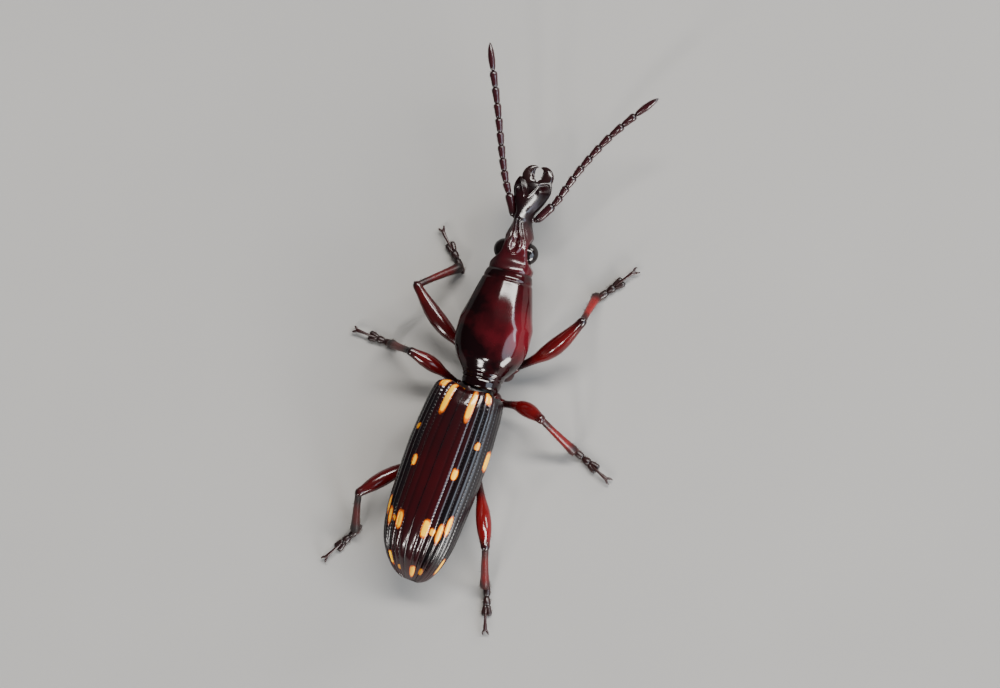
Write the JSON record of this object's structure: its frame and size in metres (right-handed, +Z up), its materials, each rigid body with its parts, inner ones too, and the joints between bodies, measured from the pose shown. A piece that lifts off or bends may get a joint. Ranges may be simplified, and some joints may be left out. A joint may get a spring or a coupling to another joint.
{
  "type": "oak timberworm weevil figure",
  "caption": "Life-size still beetle with ribbed wing cases, a long glossy prothorax, bead-like feelers, a beak with curved jaws and jointed legs standing on flat feet.",
  "frame": {"origin": "on the floor under the middle of the whole beetle's box", "axes": "+Y forwards along the body to the feelers, +X to the beetle's right side, +Z up"},
  "size_m": [0.0202, 0.036, 0.0054],
  "materials": {
    "thorax_red": "deep mahogany red, very glossy",
    "head_red": "dark mahogany red, glossy",
    "beak_black": "black-brown, glossy",
    "eye_black": "black, polished, finely faceted",
    "feeler_brown": "dark red-brown, fine short bristles",
    "case_brown": "near-black brown with yellow-orange spots, glossy ribs",
    "belly_brown": "dark brown, satin",
    "leg_red": "red-brown, glossy, dark at the joints",
    "foot_dark": "dark brown, bristly"
  },
  "bodies": {
    "root": {"head": "head_red", "mandible_l": "beak_black", "mandible_r": "beak_black", "eye_l": "eye_black", "eye_r": "eye_black", "antenna_l_scape": "feeler_brown", "antenna_l_funicle": "feeler_brown", "antenna_l_club": "feeler_brown", "antenna_r_scape": "feeler_brown", "antenna_r_funicle": "feeler_brown", "antenna_r_club": "feeler_brown", "pronotum": "thorax_red", "metathorax": "belly_brown", "abdomen": "belly_brown", "elytron_l": "case_brown", "elytron_r": "case_brown", "leg_front_l_coxa": "leg_red", "leg_front_l_femur": "leg_red", "leg_front_l_tibia": "leg_red", "leg_front_l_tarsus": "foot_dark", "leg_front_r_coxa": "leg_red", "leg_front_r_femur": "leg_red", "leg_front_r_tibia": "leg_red", "leg_front_r_tarsus": "foot_dark", "leg_middle_l_coxa": "leg_red", "leg_middle_l_femur": "leg_red", "leg_middle_l_tibia": "leg_red", "leg_middle_l_tarsus": "foot_dark", "leg_middle_r_coxa": "leg_red", "leg_middle_r_femur": "leg_red", "leg_middle_r_tibia": "leg_red", "leg_middle_r_tarsus": "foot_dark", "leg_hind_l_coxa": "leg_red", "leg_hind_l_femur": "leg_red", "leg_hind_l_tibia": "leg_red", "leg_hind_l_tarsus": "foot_dark", "leg_hind_r_coxa": "leg_red", "leg_hind_r_femur": "leg_red", "leg_hind_r_tibia": "leg_red", "leg_hind_r_tarsus": "foot_dark"}
  },
  "joints": []
}
